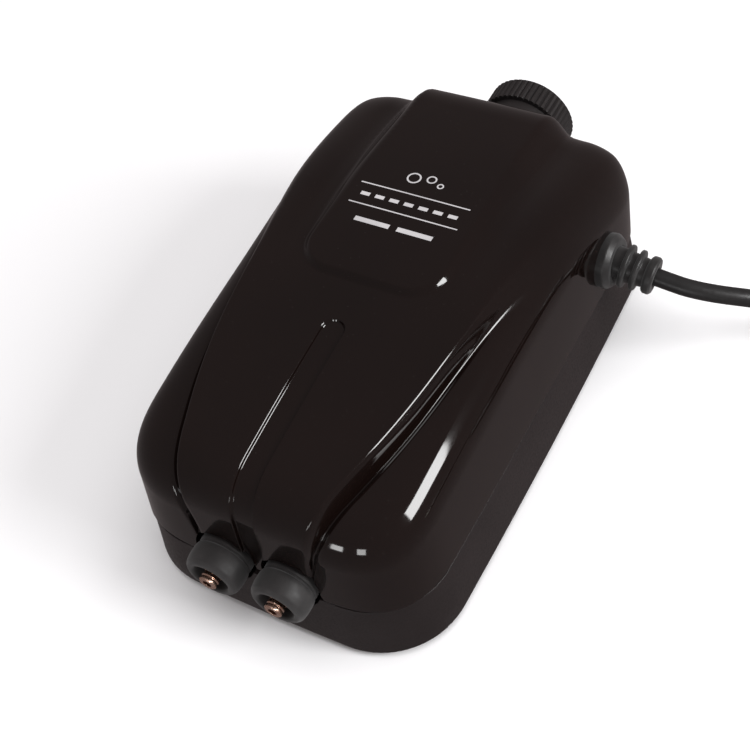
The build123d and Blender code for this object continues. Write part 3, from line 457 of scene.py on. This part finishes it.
def outline_q(radius, count):
    """The unrolled plan's closed line at this distance from its rounded core, clockwise from the front."""
    ring = []
    for cx, cy, start in ((-1, -1, 270), (-1, 1, 180), (1, 1, 90), (1, -1, 0)):
        for k in range(count + 1):
            t = radians(start - 90.0 * k / count)
            c, s = abs(cos(t)), abs(sin(t))
            power = CORNER_POWER[cy > 0]
            scale = radius / (c ** power + s ** power) ** (1 / power)
            ring.append((cx * (CORE[0] + c * scale), cy * (CORE[1] + s * scale)))
    return ring


def filled_line(corners_q, step):
    """The same closed line with points at most a step apart."""
    result = []
    for a, b in zip(corners_q, corners_q[1:] + corners_q[:1]):
        a, b = np.array(a), np.array(b)
        n = max(1, int(np.ceil(np.linalg.norm(b - a) / step)))
        result += [tuple(a + (b - a) * i / n) for i in range(n)]
    return result


# The skin's edge: round the case from the front left to the front right, then back over both notches
arc = np.radians(np.linspace(0, 180, 49))
front = []
for side in (1, -1):
    arch = unroll_front(side * NOZZLE_X + NOTCH_R * np.cos(arc), NOZZLE_Z + NOTCH_R * np.sin(arc))
    front += [(arch[0][0], -RIM_Y)] + [tuple(p) for p in arch] + [(arch[-1][0], -RIM_Y)]
notch_end = front[0][0] + 0.4
boundary = [p for p in filled_line(outline_q(CAP_R + RIM_A, 64), 1.2)
            if p[1] > 0 or abs(p[0]) > notch_end] + front

rows, chains = [], []


def add_row(points):
    first = len(rows)
    rows.extend(points)
    chains.extend((first + i, first + i + 1) for i in range(len(points) - 1))


stations = np.concatenate((np.arange(-104.0, 0.0, 0.55), np.arange(0.0, 100.0, 1.1)))
for side in (-1, 1):
    for offset in (-2.6, -1.9, -1.45, -1.1, -0.75, -0.4, -0.1, 0.2, 0.5, 0.8, 1.1, 1.4, 1.75, 2.2, 2.8, 3.6):
        c = crease_at(stations)
        slope = crease_at(stations + 0.5) - crease_at(stations - 0.5)
        norm = np.sqrt(1 + slope ** 2)
        add_row([(side * (cx + offset / n), sy - offset * s / n)
                 for cx, sy, s, n in zip(c, stations, slope, norm)])
    for offset in (-0.8, -0.45, -0.25, -0.08, 0.08, 0.25, 0.45, 0.8):
        r = RIB_HALF_W + offset
        add_row([(side * r, y) for y in np.arange(-107.0, RIB_END, 0.6)]
                + [(side * r * cos(t), RIB_END + r * sin(t)) for t in np.radians(np.linspace(0, 88, 14))])
for offset in (-2.4, -1.3, -0.6, 0.0, 0.6, 1.3, 2.4):
    for side in (-1, 1):
        w, c = HUMP_HALF_W + offset, HUMP_CORNER + offset
        add_row([(side * x, HUMP_FRONT - offset) for x in np.arange(0.3, w - c, 0.8)]
                + [(side * (w - c + c * sin(t)), HUMP_FRONT - offset + c - c * cos(t))
                   for t in np.radians(np.linspace(0, 90, 16))]
                + [(side * w, y) for y in np.arange(HUMP_FRONT - offset + c + 0.8, 100.0, 0.8)])

gx, gy = np.meshgrid(np.arange(-85.0, 85.1, 1.15), np.arange(-118.0, 118.1, 1.15))
gx = gx + 0.575 * (np.arange(gx.shape[0]) % 2)[:, None]
field = np.column_stack((gx.ravel(), gy.ravel()))
rows_q = np.array(rows)


def rim_gap(q):
    out = np.maximum(np.abs(q) - CORE, 0.0)
    return CAP_R + RIM_A - rounded(out, q)


def notch_gap(q):
    p = shell_point(q)
    up = np.maximum(p[:, 2] - NOZZLE_Z, 0.0)
    gap = np.hypot(np.abs(p[:, 0]) - NOZZLE_X, up) - NOTCH_R
    return np.where(q[:, 1] < -70.0, gap, 99.0)


near = (np.abs(crease_distance(field) - 0.5) < 3.6) & (np.abs(field[:, 1]) < 104)
near |= (np.abs(rib_distance(field)) < 1.2) & (field[:, 1] > -108)
near |= (np.abs(hump_distance(field)) < 2.9) & (field[:, 1] < 100)
field = field[~near & (rim_gap(field) > 0.6) & (notch_gap(field) > 0.55)]
keep = (rim_gap(rows_q) > 0.35) & (notch_gap(rows_q) > 0.3)
index = {old: new for new, old in enumerate(np.flatnonzero(keep))}
links_kept = [(index[i], index[j]) for i, j in chains if i in index and j in index]
rings = []
for back in (0.3, 0.55, 0.8, 1.3, 2.2):
    ring = np.array(filled_line(outline_q(CAP_R + RIM_A - back, 90), 0.9))
    rings.append(ring[notch_gap(ring) > 0.4])
field = field[rim_gap(field) > 2.9]
points = [tuple(p) for p in rows_q[keep]] + [tuple(p) for r in rings for p in r] + [tuple(p) for p in field]
first = len(points)
points += [tuple(p) for p in boundary]
loop = list(range(first, len(points)))
flat, _, triangles, *_ = delaunay_2d_cdt([Vector(p) for p in points], links_kept, [loop], 1, 1e-6)
flat = np.array([tuple(v) for v in flat])
tris = np.array(triangles)
skin = shell_point(flat)
skin_normals = shell_normal(flat)

# The moulding's thickness shows along the parting line and in the notches
edges = {}
for a, b, c in tris:
    for e in ((a, b), (b, c), (c, a)):
        edges[e] = True
open_edges = [e for e in edges if (e[1], e[0]) not in edges]
verts, normals, faces = list(skin), list(skin_normals), [tuple(t) for t in tris]
for a, b in open_edges:
    inward = []
    for i in (a, b):
        out = np.sign(flat[i]) * np.maximum(np.abs(flat[i]) - CORE, 1e-9)
        inward.append(skin[i] - 2.2 * np.append(out / np.linalg.norm(out), 0.0))
    quad = [skin[b], skin[a], inward[0], inward[1]]
    n = np.cross(quad[1] - quad[0], quad[3] - quad[0])
    n = n / max(np.linalg.norm(n), 1e-12)
    base = len(verts)
    verts += quad
    normals += [n] * 4
    faces.append((base, base + 1, base + 2, base + 3))
piece("shell_skin", at(verts), faces, "shell_gloss_black", "case", normals, ("upper_shell",))
print("shell faces", len(faces))


# ---- Turned pieces ----

def lathe(name, rings, origin, axis, slot, body, segments=96, replaces=()):
    """A surface turned about an axis: each ring is (distance along the axis, radius) in millimetres.
    A repeated ring makes a sharp edge."""
    axis = Vector(axis).normalized()
    side = axis.orthogonal().normalized()
    other = axis.cross(side)
    origin = Vector(origin)
    verts, faces = [], []
    for along, radius in rings:
        for k in range(segments):
            t = 2 * pi * k / segments
            verts.append(origin + axis * along + (side * cos(t) + other * sin(t)) * radius)
    for i in range(len(rings) - 1):
        if rings[i] == rings[i + 1]:
            continue
        for k in range(segments):
            n = (k + 1) % segments
            faces.append((i * segments + k, i * segments + n, (i + 1) * segments + n, (i + 1) * segments + k))
    return piece(name, at([tuple(v) for v in verts]), faces, slot, body, replaces=replaces)


def softened(profile, radius, steps=4):
    """A profile with its corners rounded; a corner given as (along, r, True) stays sharp."""
    result = []
    for i, point in enumerate(profile):
        here = Vector(point[:2])
        if i in (0, len(profile) - 1) or len(point) > 2:
            result.append(tuple(here))
            continue
        before, after = Vector(profile[i - 1][:2]) - here, Vector(profile[i + 1][:2]) - here
        cut = min(radius, before.length * 0.45, after.length * 0.45)
        a, b = here + before.normalized() * cut, here + after.normalized() * cut
        for k in range(steps + 1):
            t = k / steps
            result.append(tuple((1 - t) ** 2 * a + 2 * t * (1 - t) * here + t * t * b))
    return result


COLLAR = ((6.5, 4.1), (6.5, 5.3), (0.55, 5.3), (0.0, 5.8), (0.0, 6.9), (1.1, 7.95), (3.2, 8.3), (5.8, 8.3),
          (6.9, 8.05), (7.15, 7.6), (7.5, 7.6), (7.75, 7.95), (12.6, 7.95), (13.2, 7.4), (13.2, 4.1))
for name, side in SIDES.items():
    lathe(f"collar_barrel_{name}", softened(COLLAR, 0.5), (side * NOZZLE_X, -86.2, NOZZLE_Z), (0, 1, 0),
          "collar_rubber", "case", replaces=(f"collar_{name}",))

# Cord gland: base against the wall, ribbed tail that droops a little
DRAFT, DROOP = radians(3.0), radians(8.0)
GLAND_AT = Vector((46.2, 46.0, 32.9))
WALL_NORMAL = Vector((cos(DRAFT), 0, sin(DRAFT)))
TAIL_DIR = Vector((cos(DROOP), 0, -sin(DROOP)))
TAIL_ROOT = GLAND_AT + WALL_NORMAL * 4.0
lathe("gland_base", softened(((-1.0, 8.0), (3.0, 8.2), (4.6, 6.9), (4.6, 5.2), (3.8, 4.0)), 0.35),
      GLAND_AT, WALL_NORMAL, "gland_rubber", "case", replaces=("gland",))
TAIL = ((-2.0, 5.0), (2.4, 4.9), (2.6, 6.2), (2.9, 6.5), (3.7, 6.5), (4.0, 6.2), (4.2, 4.7), (5.8, 4.5),
        (6.0, 5.8), (6.3, 6.1), (7.1, 6.1), (7.4, 5.8), (7.6, 4.4), (9.2, 4.2), (9.4, 5.0), (10.0, 5.6),
        (11.6, 5.6), (12.2, 5.0), (12.2, 3.2), (11.6, 2.62))
lathe("gland_tail", softened(TAIL, 0.22, 3), TAIL_ROOT, TAIL_DIR, "gland_rubber", "case")


# ---- Print on the hump: two rules with generic bubbles and bars ----

marks_v, marks_n, marks_f = [], [], []


def print_patch(corners_q, cols, rows_n=1):
    """A thin patch of print that follows the surface between four corners on the unrolled plan."""
    a, b, c, d = (np.array(p, float) for p in corners_q)
    u, v = np.meshgrid(np.linspace(0, 1, cols + 1), np.linspace(0, 1, rows_n + 1))
    u, v = u.ravel()[:, None], v.ravel()[:, None]
    q = (a * (1 - u) + b * u) * (1 - v) + (d * (1 - u) + c * u) * v
    base = len(marks_v)
    n = shell_normal(q)
    marks_v.extend(shell_point(q) + 0.06 * n)
    marks_n.extend(n)
    for i in range(rows_n):
        for j in range(cols):
            k = base + i * (cols + 1) + j
            marks_f.append((k, k + 1, k + cols + 2, k + cols + 1))


def bar(x0, x1, y, width):
    print_patch(((x0, y - width / 2), (x1, y - width / 2), (x1, y + width / 2), (x0, y + width / 2)),
                max(2, int(abs(x1 - x0))))


def bubble(x, y, radius, width):
    t = np.linspace(0, 2 * pi, 41)
    for t0, t1 in zip(t[:-1], t[1:]):
        print_patch([(x + r * cos(w), y + r * sin(w))
                     for w, r in ((t0, radius - width), (t0, radius), (t1, radius), (t1, radius - width))], 1)


for y in (17.6, 25.5):
    bar(-16.8, 16.8, y, 0.42)
bubble(-3.4, 31.6, 2.1, 0.5)
bubble(1.6, 32.6, 1.5, 0.45)
bubble(5.0, 31.0, 1.0, 0.4)
for x in (-13.5, -9.0, -4.5, 0.0, 4.5, 9.0, 13.5):
    bar(x - 1.4, x + 1.4, 21.5, 1.3)
for x0, x1 in ((-12.0, -1.2), (1.2, 12.0)):
    bar(x0, x1, 12.2, 1.6)
piece("printed_marks", at(marks_v), marks_f, "print_silver", "case", marks_n, ("label_rules",))


# ---- Cord: out of the gland, down to the surface, a stored coil and the plug ----

CORD_D = 5.2
RING_AT, RING_R, COIL_TURNS = (159.0, 61.0), 28.6, 6
LEAD = [(55.2, 46.0, 32.4), (62.3, 46.0, 31.4), (74.8, 46.2, 29.6), (94.5, 55.0, 24.0), (115.5, 72.5, 3.3)]
COLUMNS = (-CORD_D, 0.0, CORD_D)
POINTS_PER_TURN = 14
coil = []
START, END = 117.0, 90.0 - 360.0 * COIL_TURNS
LANES = ((COLUMNS[0], 2.9), (COLUMNS[1], 2.9), (COLUMNS[2], 2.9), (COLUMNS[2], 8.1), (COLUMNS[1], 8.1),
         (COLUMNS[0], 8.1))
total = int(round((START - END) / 360.0 * POINTS_PER_TURN))
for k in range(total + 1):
    degrees_in = START - (START - END) * k / total
    turns = (START - degrees_in) / 360.0
    lane = min(int(turns), COIL_TURNS - 1)
    blend = float(smooth(0.72, 1.0, turns - lane))
    here, after = LANES[lane], LANES[min(lane + 1, COIL_TURNS - 1)]
    r = RING_R + here[0] + (after[0] - here[0]) * blend
    z = here[1] + (after[1] - here[1]) * blend
    coil.append((RING_AT[0] + r * cos(radians(degrees_in)), RING_AT[1] + r * sin(radians(degrees_in)), z))
TAIL_POINTS = [(174.0, 88.6, 6.4), (189.0, 86.0, 4.4), (203.0, 70.0, 5.4), (207.0, 56.0, 5.9),
               (207.0, 47.0, 6.0), (207.0, 38.0, 6.0)]
route = at(LEAD + coil + TAIL_POINTS)
curve = bpy.data.curves.new("mains_cord", "CURVE")
curve.dimensions = "3D"
curve.bevel_depth = CORD_D * MM / 2
curve.bevel_resolution = 7
curve.use_fill_caps = True
spline = curve.splines.new("NURBS")
spline.points.add(len(route) - 1)
for point, place in zip(spline.points, route):
    point.co = (*place, 1.0)
spline.order_u = 3
spline.use_endpoint_u = True
spline.resolution_u = 10
curve.materials.append(MATERIALS["cord_pvc"])
cord = bpy.data.objects.new("mains_cord", curve)
bpy.context.scene.collection.objects.link(cord)
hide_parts("cord_lead", "cord_tail", "cord_ring")
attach(cord, "case")


# ---- Stage, lights and camera ----

def area(name, place, target, size, power):
    """A rectangular soft light at a place, facing a target, in metres."""
    light = bpy.data.lights.new(name, "AREA")
    light.shape = "RECTANGLE"
    light.size, light.size_y = size
    light.energy = power
    obj = bpy.data.objects.new(name, light)
    obj.location = place
    obj.rotation_euler = (Vector(target) - Vector(place)).to_track_quat("-Z", "Y").to_euler()
    bpy.context.scene.collection.objects.link(obj)
    return obj


bpy.ops.mesh.primitive_plane_add(size=1.6, location=(0.02, 0.0, 0.0))
floor = bpy.context.object
floor.name = "floor"
floor_mat, nodes, links, shader = new_material("floor_white")
tone, _ = noise_on(nodes, links, 3.0, 3.0)
links.new(ramp(nodes, links, tone, ((0.3, (0.8, 0.8, 0.81)), (0.7, (0.83, 0.83, 0.84)))),
          shader.inputs["Base Color"])
shader.inputs["Roughness"].default_value = 0.85
shader.inputs["Specular IOR Level"].default_value = 0.1
floor.data.materials.append(floor_mat)
floor.visible_glossy = False        # so that the gloss sides stay as dark as in the photo

world = bpy.data.worlds.new("studio")
bpy.context.scene.world = world
world.use_nodes = True
world_nodes, world_links = world.node_tree.nodes, world.node_tree.links
# Pale where the camera sees it, dimmer in what it lights and in reflections
path = world_nodes.new("ShaderNodeLightPath")
sky = world_nodes.new("ShaderNodeMix")
sky.data_type = "RGBA"
sky.inputs["A"].default_value = (0.19, 0.165, 0.165, 1.0)
sky.inputs["B"].default_value = (0.93, 0.93, 0.935, 1.0)
world_links.new(path.outputs["Is Camera Ray"], sky.inputs["Factor"])
world_links.new(sky.outputs["Result"], world_nodes["Background"].inputs["Color"])

overhead = area("overhead", (0.15, 0.1, 1.5), (0.0, 0.0, 0.0), (1.8, 1.8), 27.0)
overhead.visible_glossy = False     # it lights the floor without whitening the gloss top
area("key_right", (1.08, 0.1, 0.66), (0.0, 0.0, 0.03), (0.5, 0.56), 15.0)
area("window_left", (-0.2, -1.2, 0.17), (0.0, 0.0, 0.05), (0.16, 0.22), 1.0)
area("window_right", (0.25, -1.2, 0.19), (0.0, 0.0, 0.05), (0.2, 0.26), 1.3)

AZIMUTH, ELEVATION, ROLL = radians(40.4), radians(51.44), radians(-15.2)
right0 = Vector((cos(AZIMUTH), sin(AZIMUTH), 0.0))
back = Vector((sin(AZIMUTH) * cos(ELEVATION), -cos(AZIMUTH) * cos(ELEVATION), sin(ELEVATION)))
up0 = back.cross(right0)
right = right0 * cos(ROLL) + up0 * sin(ROLL)
up = up0 * cos(ROLL) - right0 * sin(ROLL)
camera_data = bpy.data.cameras.new("camera")
camera_data.lens, camera_data.sensor_width = 65.4, 36.0
camera_data.clip_start = 0.01
camera = bpy.data.objects.new("camera", camera_data)
rotation = Matrix((right, up, back)).transposed().to_4x4()
camera.matrix_world = Matrix.Translation(Vector(at((157.58, -196.44, 330.99)))) @ rotation
bpy.context.scene.collection.objects.link(camera)
bpy.context.scene.camera = camera
bpy.context.scene.view_settings.view_transform = "Standard"
